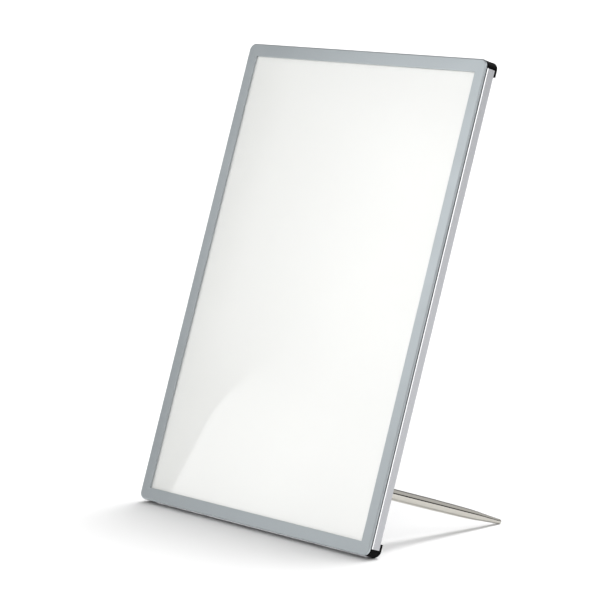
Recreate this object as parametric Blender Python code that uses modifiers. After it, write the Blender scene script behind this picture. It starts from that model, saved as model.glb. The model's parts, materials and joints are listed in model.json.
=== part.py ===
"""Slim LED light table for viewing film and transparencies.

A flat A3-format illuminated panel that stands leaning back on its two rear
bottom corner pads and on two turned metal legs, which screw into sockets in
the back panel.  Units are metres, +Z is up, the lit face looks towards -Y.

Panel frame (used by every piece below, through one tilted empty):
    x = width, 0 on the centre line
    y = depth behind the front plane of the bezel
    z = height along the panel from its bottom edge
"""
import math

import bpy
import bmesh
from mathutils import Matrix, Vector

for old in list(bpy.data.objects):
    bpy.data.objects.remove(old, do_unlink=True)

MM = 0.001

# ------------------------------------------------------------ driving sizes
PANEL_W = 321.0            # outside width of the frame
PANEL_H = 444.0            # outside height of the frame
BORDER = 12.0              # visible bezel border; the window is 297 x 420
TILT_DEG = 18.2            # lean of the panel from the vertical
CORNER_R = 7.0             # outside corner radius, seen from the front

PLATE_T = 1.8              # thickness of the bezel plate
PLATE_ROUND = 1.3          # softened outer front edge of the bezel plate
RAIL_N0, RAIL_N1 = 3.0, 12.0      # depth range of the frame rails
RAIL_IN = 7.0              # rail section, outer face to inner face
PAD_N0, PAD_N1 = 12.3, 15.0       # depth range of the rear corner pads
PAD_SIZE = 15.0            # side of a corner pad
PAD_ROUND = 2.0            # rounding of a corner pad's rear edges
GAP = 0.3                  # assembly gap between neighbouring pieces

LEG_X = 128.2              # distance of each leg from the centre line
LEG_R = 5.25               # radius of a leg at its base
LEG_TIP_N = 183.4          # depth of the leg tip behind the bezel plane
LEG_TIP_R = 2.3            # radius of the rounded tip
LEG_SHOULDER_N = 16.1      # where the leg's shoulder sits
STUD_R = 2.95              # threaded stud, M6
SOCKET_BORE_R = 3.3        # bore of the leg socket

GUIDE_X = 151.2            # half width of the light guide stack
GUIDE_Z0 = 11.2            # bottom of the stack, above the wire channel
GUIDE_Z1 = PANEL_H - 8.9   # top of the stack

BUTTON_Z = 50.0            # height of the power button on the left rail
INLET_Z = 72.0             # height of the power inlet on the left rail
AXIS_N = 6.85              # depth of the button's and the inlet's axis

SCREW_LINE = 4.25          # screws sit this far in from the frame's outside

tilt = math.radians(TILT_DEG)
HW = PANEL_W / 2.0
WIN_X = HW - BORDER

# The rounded rear edge of a bottom pad and the rounded leg tip both touch the
# ground, which fixes the height of the legs along the panel.
pad_low = PAD_ROUND * math.cos(tilt) - (PAD_N1 - PAD_ROUND) * math.sin(tilt) - PAD_ROUND
LEG_Z = (pad_low + LEG_TIP_R + (LEG_TIP_N - LEG_TIP_R) * math.sin(tilt)) / math.cos(tilt)

# ------------------------------------------------------------ collections
scene = bpy.context.scene
parts = bpy.data.collections.new("light_table")
cutters = bpy.data.collections.new("cutters")
scene.collection.children.link(parts)
scene.collection.children.link(cutters)

# The empty that leans the whole panel back; its location is set at the end so
# that the middle of the model's footprint is the origin.
panel = bpy.data.objects.new("panel_frame", None)
panel.rotation_euler = (-tilt, 0.0, 0.0)
parts.objects.link(panel)


# ------------------------------------------------------------ materials
def lin(c):
    c = c / 255.0
    return c / 12.92 if c <= 0.04045 else ((c + 0.055) / 1.055) ** 2.4


def material(name, rgb, rough, metal=0.0, **extra):
    m = bpy.data.materials.new(name)
    m.use_nodes = True
    b = m.node_tree.nodes["Principled BSDF"]
    b.inputs["Base Color"].default_value = (lin(rgb[0]), lin(rgb[1]), lin(rgb[2]), 1.0)
    b.inputs["Roughness"].default_value = rough
    b.inputs["Metallic"].default_value = metal
    for key, value in extra.items():
        b.inputs[key].default_value = value
    m.diffuse_color = (lin(rgb[0]), lin(rgb[1]), lin(rgb[2]), 1.0)
    return m


M_BEZEL = material("satin_aluminium_bezel", (186, 194, 199), 0.38, 1.0)
M_RAIL = material("satin_aluminium_rail", (196, 198, 201), 0.32, 1.0)
M_BLACK = material("black_plastic", (16, 16, 17), 0.42)
M_FOAM = material("black_foam", (28, 28, 30), 0.95)
M_OPAL = material("opal_acrylic", (244, 245, 240), 0.12)
M_FILM = material("diffusion_film", (248, 248, 246), 0.55)
M_ACRYLIC = material("clear_acrylic", (236, 244, 244), 0.05)
M_REFLECT = material("reflector_film", (250, 250, 250), 0.45)
M_BACK = material("painted_back_sheet", (52, 53, 56), 0.5, 0.0)
M_NICKEL = material("polished_nickel", (205, 203, 196), 0.14, 1.0)
M_STEEL = material("zinc_steel", (178, 179, 182), 0.32, 1.0)
M_SCREW = material("black_oxide_screw", (58, 58, 61), 0.38, 1.0)
M_PCB = material("green_circuit_board", (30, 92, 58), 0.42)
M_LED = material("white_led_strip", (240, 236, 214), 0.4)
M_RED = material("red_wire_jacket", (176, 34, 30), 0.45)
M_BWIRE = material("black_wire_jacket", (22, 22, 24), 0.45)


# ------------------------------------------------------------ helpers
def place(obj, mat=None, cutter=False, smooth=None):
    """Link an object, hang it on the tilted empty and give it its material."""
    (cutters if cutter else parts).objects.link(obj)
    obj.parent = panel
    if mat is not None and not obj.data.materials:
        obj.data.materials.append(mat)
    if cutter:
        obj.hide_render = True
        obj.display_type = "WIRE"
    if smooth is not None and obj.type == "MESH":
        obj.data.shade_smooth()
        obj.data.set_sharp_from_angle(angle=math.radians(smooth))
    return obj


def mesh_from(bm, name):
    bmesh.ops.recalc_face_normals(bm, faces=bm.faces[:])
    me = bpy.data.meshes.new(name)
    bm.to_mesh(me)
    bm.free()
    return me


def box(name, x, n, z, mat=None, cutter=False):
    """A box given by its ranges in width, depth and height (millimetres)."""
    bm = bmesh.new()
    bmesh.ops.create_cube(bm, size=1.0)
    size = Vector(((x[1] - x[0]), (n[1] - n[0]), (z[1] - z[0]))) * MM
    mid = Vector(((x[1] + x[0]), (n[1] + n[0]), (z[1] + z[0]))) * (MM / 2)
    bmesh.ops.scale(bm, vec=size, verts=bm.verts[:])
    obj = bpy.data.objects.new(name, mesh_from(bm, name))
    obj.location = mid
    return place(obj, mat, cutter)


FRONT = Matrix.Rotation(math.radians(90), 4, "X")      # outline (x, z), extruded in depth
SIDE = Matrix.Identity(4)                               # outline (x, n), extruded in height
ACROSS = Matrix.Rotation(math.radians(-90), 4, "Y")     # outline (z, n), extruded in width


def extrude_outline(name, outlines, lo, hi, turn):
    """Fill closed outlines (later ones are holes) and extrude from lo to hi.

    The outlines are 2D poly splines in millimetres.  The filled curve is made
    a mesh, its caps are welded, and it is turned into the panel frame.
    """
    cu = bpy.data.curves.new(name, "CURVE")
    cu.dimensions = "2D"
    cu.fill_mode = "BOTH"
    cu.extrude = (hi - lo) * MM / 2
    for pts in outlines:
        sp = cu.splines.new("POLY")
        sp.points.add(len(pts) - 1)
        for p, (a, b) in zip(sp.points, pts):
            p.co = (a * MM, b * MM, 0.0, 1.0)
        sp.use_cyclic_u = True
    tmp = bpy.data.objects.new(name + "_outline", cu)
    scene.collection.objects.link(tmp)
    dg = bpy.context.evaluated_depsgraph_get()
    me = bpy.data.meshes.new_from_object(tmp.evaluated_get(dg))
    bpy.data.objects.remove(tmp, do_unlink=True)
    bpy.data.curves.remove(cu)
    bm = bmesh.new()
    bm.from_mesh(me)
    bpy.data.meshes.remove(me)
    bmesh.ops.remove_doubles(bm, verts=bm.verts[:], dist=1e-6)
    bmesh.ops.transform(bm, matrix=turn, verts=bm.verts[:])
    mid = (hi + lo) * MM / 2
    shift = {"F": Vector((0, mid, 0)), "S": Vector((0, 0, mid)), "A": Vector((mid, 0, 0))}
    key = "F" if turn is FRONT else ("S" if turn is SIDE else "A")
    bmesh.ops.translate(bm, vec=shift[key], verts=bm.verts[:])
    return bm


def outline_object(name, outlines, lo, hi, turn, mat=None, cutter=False):
    bm = extrude_outline(name, outlines, lo, hi, turn)
    return place(bpy.data.objects.new(name, mesh_from(bm, name)), mat, cutter)


def rect(x0, x1, z0, z1):
    return [(x0, z0), (x1, z0), (x1, z1), (x0, z1)]


def rounded_rect(x0, x1, z0, z1, r, seg=5):
    pts = []
    for cx, cz, a0 in ((x1 - r, z0 + r, -90), (x1 - r, z1 - r, 0),
                       (x0 + r, z1 - r, 90), (x0 + r, z0 + r, 180)):
        for k in range(seg + 1):
            a = math.radians(a0 + 90.0 * k / seg)
            pts.append((cx + r * math.cos(a), cz + r * math.sin(a)))
    return pts


def circle(cx, cz, r, seg=12):
    return [(cx + r * math.cos(2 * math.pi * (k + 0.5) / seg),
             cz + r * math.sin(2 * math.pi * (k + 0.5) / seg)) for k in range(seg)]


def cylinder_n(name, x, z, r, n0, n1, seg=12, cutter=True, mat=None):
    """A cylinder whose axis runs in depth."""
    bm = bmesh.new()
    bmesh.ops.create_cone(bm, cap_ends=True, segments=seg, radius1=r * MM, radius2=r * MM,
                          depth=(n1 - n0) * MM)
    bmesh.ops.rotate(bm, cent=(0, 0, 0), matrix=Matrix.Rotation(math.pi / seg, 3, "Z"), verts=bm.verts[:])
    bmesh.ops.rotate(bm, cent=(0, 0, 0), matrix=Matrix.Rotation(math.radians(-90), 3, "X"), verts=bm.verts[:])
    obj = bpy.data.objects.new(name, mesh_from(bm, name))
    obj.location = (x * MM, (n0 + n1) * MM / 2, z * MM)
    return place(obj, mat, cutter)


def cylinder_x(name, x0, x1, n, z, r, seg=16, cutter=True, mat=None):
    """A cylinder whose axis runs across the panel."""
    bm = bmesh.new()
    bmesh.ops.create_cone(bm, cap_ends=True, segments=seg, radius1=r * MM, radius2=r * MM,
                          depth=(x1 - x0) * MM)
    bmesh.ops.rotate(bm, cent=(0, 0, 0), matrix=Matrix.Rotation(math.radians(90), 3, "Y"), verts=bm.verts[:])
    obj = bpy.data.objects.new(name, mesh_from(bm, name))
    obj.location = ((x0 + x1) * MM / 2, n * MM, z * MM)
    return place(obj, mat, cutter)


def boolean(obj, other, operation):
    mod = obj.modifiers.new(operation.lower() + "_" + other.name, "BOOLEAN")
    mod.operation = operation
    mod.solver = "EXACT"
    mod.object = other
    return mod


def turned_mesh(name, profile, closed):
    """A profile of (radius, height) points in millimetres, for a Screw modifier."""
    me = bpy.data.meshes.new(name)
    bm = bmesh.new()
    verts = [bm.verts.new((r * MM, 0.0, h * MM)) for r, h in profile]
    for a, b in zip(verts, verts[1:]):
        bm.edges.new((a, b))
    if closed:
        bm.edges.new((verts[-1], verts[0]))
    bm.to_mesh(me)
    bm.free()
    return me


def turned_object(name, me, steps, x, z, mat):
    """Turn a profile about an axis that runs in depth through (x, z)."""
    obj = bpy.data.objects.new(name, me)
    scr = obj.modifiers.new("turn", "SCREW")
    scr.axis = "Z"
    scr.angle = 2 * math.pi
    scr.steps = steps
    scr.render_steps = steps
    scr.use_merge_vertices = True
    scr.merge_threshold = 1e-5
    scr.use_smooth_shade = True
    obj.location = (x * MM, 0.0, z * MM)
    obj.rotation_euler = (math.radians(-90), 0.0, 0.0)
    return place(obj, mat)


# ------------------------------------------------------------ front bezel
outer = rounded_rect(-HW, HW, 0, PANEL_H, CORNER_R, 6)
window = rect(-WIN_X, WIN_X, BORDER, PANEL_H - BORDER)
bm = extrude_outline("front_bezel", [outer, window], 0.0, PLATE_T, FRONT)
rim = []
for e in bm.edges:
    front = all(abs(v.co.y) < 1e-6 for v in e.verts)
    mid = (e.verts[0].co + e.verts[1].co) / 2
    outside = (abs(mid.x) > (WIN_X + 3) * MM or mid.z < (BORDER - 3) * MM
               or mid.z > (PANEL_H - BORDER + 3) * MM)
    if front and outside and len(e.link_faces) == 2:
        flat = [abs(f.normal.y) > 0.9 for f in e.link_faces]
        if flat.count(True) == 1:
            rim.append(e)
bmesh.ops.bevel(bm, geom=rim, offset=PLATE_ROUND * MM, segments=2, profile=0.5,
                affect="EDGES", clamp_overlap=False)
front_bezel = place(bpy.data.objects.new("front_bezel", mesh_from(bm, "front_bezel")), M_BEZEL, smooth=40)
SKIRT_OUT = HW - 7.4
SKIRT_IN = HW - 8.6
skirt = outline_object(
    "bezel_skirt_tool",
    [rect(-SKIRT_OUT, SKIRT_OUT, 7.4, PANEL_H - 7.4), rect(-SKIRT_IN, SKIRT_IN, 8.6, PANEL_H - 8.6)],
    PLATE_T - 0.7, 4.0, FRONT, cutter=True)
boolean(front_bezel, skirt, "UNION")

# black gasket in the shadow gap between the bezel plate and the rails
outline_object(
    "bezel_gasket",
    [rounded_rect(-HW + 2, HW - 2, 2, PANEL_H - 2, CORNER_R - 2, 4),
     rect(-HW + 7.1, HW - 7.1, 7.1, PANEL_H - 7.1)],
    PLATE_T + GAP, RAIL_N0 - GAP, FRONT, M_FOAM)


# ------------------------------------------------------------ frame rails
def rail_section(sign, base):
    """Hollow rail section; base is the outer face and sign points outwards."""
    def at(inset, n):
        return (base - sign * inset, n)
    shell = [at(RAIL_IN, RAIL_N0), at(1.3, RAIL_N0), at(0.38, RAIL_N0 + 0.38), at(0.0, RAIL_N0 + 1.3),
             at(0.0, RAIL_N1), at(0.9, RAIL_N1), at(0.9, 10.7), at(RAIL_IN, 10.7)]
    chamber = [at(5.8, 4.2), at(1.5, 4.2), at(1.5, 9.5), at(5.8, 9.5)]
    return [shell, chamber]


RAIL_END = CORNER_R + GAP
side_rail_right = outline_object("side_rail_right", rail_section(1, HW), RAIL_END, PANEL_H - RAIL_END, SIDE, M_RAIL)
side_rail_left = outline_object("side_rail_left", rail_section(-1, -HW), RAIL_END, PANEL_H - RAIL_END, SIDE, M_RAIL)
top_rail = outline_object("top_rail", rail_section(1, PANEL_H), -HW + RAIL_END, HW - RAIL_END, ACROSS, M_RAIL)
bottom_rail = outline_object("bottom_rail", rail_section(-1, 0), -HW + RAIL_END, HW - RAIL_END, ACROSS, M_RAIL)
for rail in (side_rail_right, side_rail_left, top_rail, bottom_rail):
    rail.data.shade_smooth()
    rail.data.set_sharp_from_angle(angle=math.radians(50))

# back panel screws: three on each side rail, two on the top and bottom rails
SX = HW - SCREW_LINE
back_screw_spots = []
for zz in (110.0, 222.0, 334.0):
    back_screw_spots += [("left", -SX, zz, side_rail_left), ("right", SX, zz, side_rail_right)]
for xx in (-76.0, 76.0):
    back_screw_spots += [("bottom", xx, SCREW_LINE, bottom_rail), ("top", xx, PANEL_H - SCREW_LINE, top_rail)]

# corner screws: one through each corner pad into the arm inside the side rail
CORNER_SX = HW - 3.65
CORNER_SZ = 9.5
corner_spots = [
    ("bottom_left", -1, -1, side_rail_left), ("bottom_right", 1, -1, side_rail_right),
    ("top_left", -1, 1, side_rail_left), ("top_right", 1, 1, side_rail_right)]


def corner_xz(sx, sz, inset_x, inset_z):
    return (sx * (HW - inset_x), inset_z if sz < 0 else PANEL_H - inset_z)


for k, (tag, x, z, rail) in enumerate(back_screw_spots):
    boolean(rail, cylinder_n("cut_rail_%02d" % k, x, z, 1.4, 9.0, 11.2), "DIFFERENCE")
for tag, sx, sz, rail in corner_spots:
    x, z = corner_xz(sx, sz, 3.65, CORNER_SZ)
    boolean(rail, cylinder_n("cut_rail_corner_" + tag, x, z, 1.3, 9.0, 11.2), "DIFFERENCE")

# pocket for the control board in the left rail, with openings for the button
# and the inlet in its outer wall
boolean(side_rail_left, box("cut_pocket", (-155.2, -153.0), (3.9 + 0.6, 9.2), (27, 83), cutter=True), "DIFFERENCE")


def capsule(half_len, half_wide, n, z, seg=6):
    """Outline in (depth, height) of a slot that is long in height."""
    pts = []
    for cz, a0 in ((z + half_len - half_wide, 0), (z - half_len + half_wide, 180)):
        for k in range(seg + 1):
            a = math.radians(a0 + 180.0 * k / seg)
            pts.append((n + half_wide * math.cos(a), cz + half_wide * math.sin(a)))
    return pts


def capsule_object(name, x0, x1, half_len, half_wide, mat=None, cutter=False):
    """A capsule at the button's place, extruded across the panel."""
    pts = capsule(half_len, half_wide, AXIS_N, BUTTON_Z)
    bm = extrude_outline(name, [[(b, a) for a, b in pts]], x0, x1, ACROSS)
    return bm


bm = capsule_object("cut_button", -161.5, -158.4, 4.3, 2.1)
boolean(side_rail_left, place(bpy.data.objects.new("cut_button", mesh_from(bm, "cut_button")), cutter=True), "DIFFERENCE")
boolean(side_rail_left, cylinder_x("cut_inlet", -161.5, -158.4, AXIS_N, INLET_Z, 2.4, 16), "DIFFERENCE")


# ------------------------------------------------------------ corner caps
def corner_outline(sx, sz, size, r, inset=0.0, seg=6):
    """Square corner region with a rounded outer corner."""
    pts = [(size, inset), (size, size), (inset, size)]
    for k in range(seg + 1):
        a = math.radians(90.0 * k / seg)
        pts.append((inset + r - r * math.cos(a), inset + r - r * math.sin(a)))
    return [corner_xz(sx, sz, a, b) for a, b in pts]


def span(a, b):
    return (min(a, b), max(a, b))


def corner_box(name, sx, sz, ix, iz, n):
    xa, za = corner_xz(sx, sz, ix[0], iz[0])
    xb, zb = corner_xz(sx, sz, ix[1], iz[1])
    return box(name, span(xa, xb), n, span(za, zb), cutter=True)


for tag, sx, sz, rail in corner_spots:
    name = "corner_cap_" + tag
    bm = extrude_outline(name, [corner_outline(sx, sz, PAD_SIZE, CORNER_R)], PAD_N0, PAD_N1, FRONT)
    rear = [e for e in bm.edges if all(abs(v.co.y - PAD_N1 * MM) < 1e-6 for v in e.verts)
            and len(e.link_faces) == 2
            and sum(1 for f in e.link_faces if abs(f.normal.y) > 0.9) == 1]
    bmesh.ops.bevel(bm, geom=rear, offset=PAD_ROUND * MM, segments=3, profile=0.5,
                    affect="EDGES", clamp_overlap=False)
    cap = place(bpy.data.objects.new(name, mesh_from(bm, name)), M_BLACK, smooth=40)
    block = outline_object("tool_block_" + tag, [corner_outline(sx, sz, CORNER_R, CORNER_R - 0.15, 0.15, 5)],
                           RAIL_N0, PAD_N0 + 0.7, FRONT, cutter=True)
    boolean(cap, block, "UNION")
    boolean(cap, corner_box("tool_arm_side_" + tag, sx, sz, (1.8, 5.5), (6.0, 25.0), (4.5, 9.2)), "UNION")
    boolean(cap, corner_box("tool_arm_end_" + tag, sx, sz, (6.0, 25.0), (1.8, 5.5), (4.5, 9.2)), "UNION")
    x, z = corner_xz(sx, sz, 3.65, CORNER_SZ)
    boolean(cap, cylinder_n("cut_cap_bore_" + tag, x, z, 1.3, 5.2, 13.6), "DIFFERENCE")
    boolean(cap, cylinder_n("cut_cap_head_" + tag, x, z, 2.8, 13.2, 15.6), "DIFFERENCE")


# ------------------------------------------------------------ optical stack
box("opal_diffuser", (-HW + 8.9, HW - 8.9), (PLATE_T + GAP, 4.1), (8.9, PANEL_H - 8.9), M_OPAL)
box("diffusion_film", (-GUIDE_X, GUIDE_X), (4.4, 4.7), (9.3, GUIDE_Z1), M_FILM)
box("light_guide", (-GUIDE_X, GUIDE_X), (5.0, 9.0), (GUIDE_Z0, GUIDE_Z1), M_ACRYLIC)
box("reflector_sheet", (-GUIDE_X, GUIDE_X), (9.3, 9.6), (GUIDE_Z0, GUIDE_Z1), M_REFLECT)
outline_object(
    "backing_foam",
    [rect(-GUIDE_X, GUIDE_X, GUIDE_Z0, GUIDE_Z1),
     circle(-LEG_X, LEG_Z, 12.6, 20), circle(LEG_X, LEG_Z, 12.6, 20)],
    9.9, 10.7, FRONT, M_FOAM)

# ------------------------------------------------------------ back panel
SOCKET_SCREW_R = 8.6
socket_spots = []
for side, sx in (("left", -1), ("right", 1)):
    for k in range(3):
        a = math.radians(90 + 120 * k)
        socket_spots.append((side, k + 1, sx * LEG_X + SOCKET_SCREW_R * math.cos(a),
                             LEG_Z + SOCKET_SCREW_R * math.sin(a)))

BX = HW - 1.2
NOTCH = CORNER_R + GAP
back_outline = [
    (-HW + NOTCH, 1.2), (HW - NOTCH, 1.2), (HW - NOTCH, NOTCH), (BX, NOTCH),
    (BX, PANEL_H - NOTCH), (HW - NOTCH, PANEL_H - NOTCH), (HW - NOTCH, PANEL_H - 1.2),
    (-HW + NOTCH, PANEL_H - 1.2), (-HW + NOTCH, PANEL_H - NOTCH), (-BX, PANEL_H - NOTCH),
    (-BX, NOTCH), (-HW + NOTCH, NOTCH)]
holes = [circle(x, z, 1.5, 10) for _, x, z, _ in back_screw_spots]
for tag, sx, sz, rail in corner_spots:
    x, z = corner_xz(sx, sz, 3.65, CORNER_SZ)
    holes.append(circle(x, z, 1.3, 10))
for sx in (-1, 1):
    holes.append(circle(sx * LEG_X, LEG_Z, 5.35, 18))
holes += [circle(x, z, 1.4, 10) for _, _, x, z in socket_spots]
outline_object("back_panel", [back_outline] + holes, 11.0, 12.0, FRONT, M_BACK)

# ------------------------------------------------------------ LED strips
LED_PITCH, LED_LEN, LED_COUNT = 14.0, 5.0, 28
z_first = 222.0 + 12.0 - LED_PITCH * (LED_COUNT - 1) / 2
comb = [(153.2, 36.0), (153.2, 433.0), (152.4, 433.0)]
for k in reversed(range(LED_COUNT)):
    zc = z_first + k * LED_PITCH
    comb += [(152.4, zc + LED_LEN / 2), (151.5, zc + LED_LEN / 2),
             (151.5, zc - LED_LEN / 2), (152.4, zc - LED_LEN / 2)]
comb.append((152.4, 36.0))
outline_object("led_strip_right", [comb], 5.3, 8.7, FRONT, M_LED)
bm = extrude_outline("led_strip_left", [comb], 5.3, 8.7, FRONT)
bmesh.ops.scale(bm, vec=(-1.0, 1.0, 1.0), verts=bm.verts[:])
place(bpy.data.objects.new("led_strip_left", mesh_from(bm, "led_strip_left")), M_LED)

# ------------------------------------------------------------ controls
box("control_board", (-157.3, -153.8), (8.2, 9.2), (34.0, 68.0), M_PCB)
box("switch_body", (-157.3, -154.3), (5.3, 7.9), (BUTTON_Z - 3, BUTTON_Z + 3), M_BLACK)

# inlet: square body in the rail, round snout through its outer wall
inlet = box("dc_inlet", (-158.6, -153.8), (4.7, 9.0), (INLET_Z - 3, INLET_Z + 3), M_BLACK)
boolean(inlet, cylinder_x("tool_snout", -160.2, -157.5, AXIS_N, INLET_Z, 2.1, 16), "UNION")
boolean(inlet, cylinder_x("cut_jack_bore", -161.0, -154.8, AXIS_N, INLET_Z, 1.55, 16), "DIFFERENCE")
boolean(inlet, cylinder_x("tool_pin", -159.4, -154.3, AXIS_N, INLET_Z, 0.5, 8), "UNION")

# power button: capsule key with an inner flange and a stem that meets the
# switch; its origin is on the axis that it slides along
bm = capsule_object("power_button", -HW, -158.3, 4.0, 1.8)
key = mesh_from(bm, "power_button")
key.transform(Matrix.Translation((HW * MM, -AXIS_N * MM, -BUTTON_Z * MM)))
button = bpy.data.objects.new("power_button", key)
button.location = (-HW * MM, AXIS_N * MM, BUTTON_Z * MM)
place(button, M_BLACK, smooth=40)
flange = box("tool_flange", (-158.7, -158.1), (AXIS_N - 2.35, AXIS_N + 2.35), (BUTTON_Z - 5.1, BUTTON_Z + 5.1), cutter=True)
boolean(button, flange, "UNION")
boolean(button, cylinder_x("tool_stem", -158.4, -157.75, AXIS_N, BUTTON_Z, 1.2, 10), "UNION")


# ------------------------------------------------------------ wires
def smooth_route(points, per=5):
    """Catmull-Rom curve through the route's own points."""
    pts = [Vector(p) for p in points]
    pts = [2 * pts[0] - pts[1]] + pts + [2 * pts[-1] - pts[-2]]
    out = []
    for i in range(1, len(pts) - 2):
        p0, p1, p2, p3 = pts[i - 1:i + 3]
        steps = per if (p2 - p1).length < 25 else 1
        for k in range(steps):
            t = k / steps
            if steps == 1:
                out.append(p1.copy())
            else:
                out.append(0.5 * ((2 * p1) + (p2 - p0) * t + (2 * p0 - 5 * p1 + 4 * p2 - p3) * t * t
                                  + (3 * p1 - 3 * p2 + p3 - p0) * t * t * t))
    out.append(pts[-2])
    return out


def wire(name, points, mat):
    cu = bpy.data.curves.new(name, "CURVE")
    cu.dimensions = "3D"
    cu.bevel_depth = 0.5 * MM
    cu.bevel_resolution = 1
    cu.use_fill_caps = True
    route = smooth_route(points, 3)
    sp = cu.splines.new("POLY")
    sp.points.add(len(route) - 1)
    for p, v in zip(sp.points, route):
        p.co = (v.x * MM, v.y * MM, v.z * MM, 1.0)
    obj = bpy.data.objects.new(name, cu)
    cu.materials.append(mat)
    return place(obj)


def wire_route(x_start, n_start, n_run):
    return [(x_start, n_start, 33.7), (x_start, n_start - 0.1, 32.4), ((x_start - 152.6) / 2, (n_start + n_run) / 2, 29.2),
            (-152.6, n_run, 26.0), (-152.6, n_run, 20.0), (-152.6, n_run, 14.0), (-151.6, n_run, 10.4),
            (-148.4, n_run, 9.2), (-142.0, n_run, 9.2), (-130.0, n_run, 9.2), (-105.0, n_run, 9.2),
            (-60.0, n_run, 9.2), (0.0, n_run, 9.2), (60.0, n_run, 9.2), (105.0, n_run, 9.2),
            (130.0, n_run, 9.2), (142.0, n_run, 9.2), (148.4, n_run, 9.2),
            (151.6, n_run, 10.4), (152.6, n_run, 14.0), (152.7, n_run, 20.0), (152.8, n_run, 35.7)]


wire("wire_red", wire_route(-156.5, 8.6, 5.9), M_RED)
wire("wire_black", wire_route(-154.7, 8.6, 7.9), M_BWIRE)

# ------------------------------------------------------------ leg sockets
socket_profile = [(SOCKET_BORE_R, 14.7), (11.4, 14.7), (12.0, 14.1), (12.0, 12.3),
                  (5.0, 12.3), (5.0, 10.0), (SOCKET_BORE_R, 10.0)]
for side, sx in (("left", -1), ("right", 1)):
    me = turned_mesh("leg_socket_" + side, socket_profile, True)
    socket = turned_object("leg_socket_" + side, me, 28, sx * LEG_X, LEG_Z, M_STEEL)
    for s, k, x, z in socket_spots:
        if s == side:
            boolean(socket, cylinder_n("cut_socket_%s_%d" % (side, k), x, z, 1.4, 11.8, 15.2, 10), "DIFFERENCE")

washer_profile = [(SOCKET_BORE_R, 15.8), (6.0, 15.8), (6.0, 15.0), (SOCKET_BORE_R, 15.0)]
for side, sx in (("left", -1), ("right", 1)):
    me = turned_mesh("leg_washer_" + side, washer_profile, True)
    turned_object("leg_washer_" + side, me, 20, sx * LEG_X, LEG_Z, M_BLACK)

# ------------------------------------------------------------ legs
# straight to mid length, then a long taper to a small rounded tip
leg_profile = [(0.0, LEG_TIP_N)]
for k in range(1, 5):
    a = math.radians(90.0 * k / 4)
    leg_profile.append((LEG_TIP_R * math.sin(a), LEG_TIP_N - LEG_TIP_R * (1 - math.cos(a))))
leg_profile += [(2.62, 175.0), (3.02, 167.5), (3.62, 157.5), (4.12, 150.5), (4.5, 142.5), (4.8, 130.0),
                (5.03, 110.0), (LEG_R, 88.0), (LEG_R, LEG_SHOULDER_N + 0.7), (LEG_R - 0.6, LEG_SHOULDER_N),
                (STUD_R, LEG_SHOULDER_N), (STUD_R, 10.8), (STUD_R - 0.5, 10.3), (0.0, 10.3)]
for side, sx in (("left", -1), ("right", 1)):
    me = turned_mesh("leg_" + side, leg_profile, False)
    turned_object("leg_" + side, me, 20, sx * LEG_X, LEG_Z, M_NICKEL)


# ------------------------------------------------------------ fasteners
def screw_profile(head_r, head_h, shank_r, n_head, n_end):
    """Pan head screw; its head rests at n_head and its point is at n_end."""
    return [(0.0, n_head + head_h), (head_r * 0.62, n_head + head_h), (head_r, n_head + head_h * 0.45),
            (head_r, n_head), (shank_r, n_head), (shank_r, n_end + 0.5), (0.0, n_end)]


back_mesh = turned_mesh("back_screw", screw_profile(2.5, 1.3, 1.1, 12.3, 8.0), False)
for k, (tag, x, z, rail) in enumerate(back_screw_spots):
    turned_object("back_screw_%02d" % (k + 1), back_mesh, 10, x, z, M_SCREW)

corner_mesh = turned_mesh("corner_screw", screw_profile(2.4, 1.2, 1.0, 13.5, 5.6), False)
for tag, sx, sz, rail in corner_spots:
    x, z = corner_xz(sx, sz, 3.65, CORNER_SZ)
    turned_object("corner_screw_" + tag, corner_mesh, 10, x, z, M_SCREW)

socket_mesh = turned_mesh("socket_screw", screw_profile(2.2, 1.2, 1.1, 15.0, 10.2), False)
for side, k, x, z in socket_spots:
    turned_object("socket_screw_%s_%d" % (side, k), socket_mesh, 10, x, z, M_SCREW)

# ------------------------------------------------------------ ground and origin
# Shift the tilted empty so that the model stands on z = 0 with the middle of
# its footprint at the origin.
bpy.context.view_layer.update()
dg = bpy.context.evaluated_depsgraph_get()
low = Vector((1e9, 1e9, 1e9))
high = -low
for obj in parts.objects:
    if obj.type == "EMPTY":
        continue
    ev = obj.evaluated_get(dg)
    me = ev.to_mesh()
    for v in me.vertices:
        p = ev.matrix_world @ v.co
        for i in range(3):
            low[i] = min(low[i], p[i])
            high[i] = max(high[i], p[i])
    ev.to_mesh_clear()
panel.location = (-(low.x + high.x) / 2, -(low.y + high.y) / 2, -low.z)
bpy.context.view_layer.update()
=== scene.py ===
"""Looks of the slim LED light table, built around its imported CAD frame.

Lengths in the mesh code are millimetres in the panel's own frame: x = width,
n = depth behind the front plane of the bezel, z = height along the panel.
PANEL turns that frame into the row frame, as the CAD source does.
"""
import json
import math

import bpy
import bmesh
from mathutils import Matrix, Vector

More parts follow.
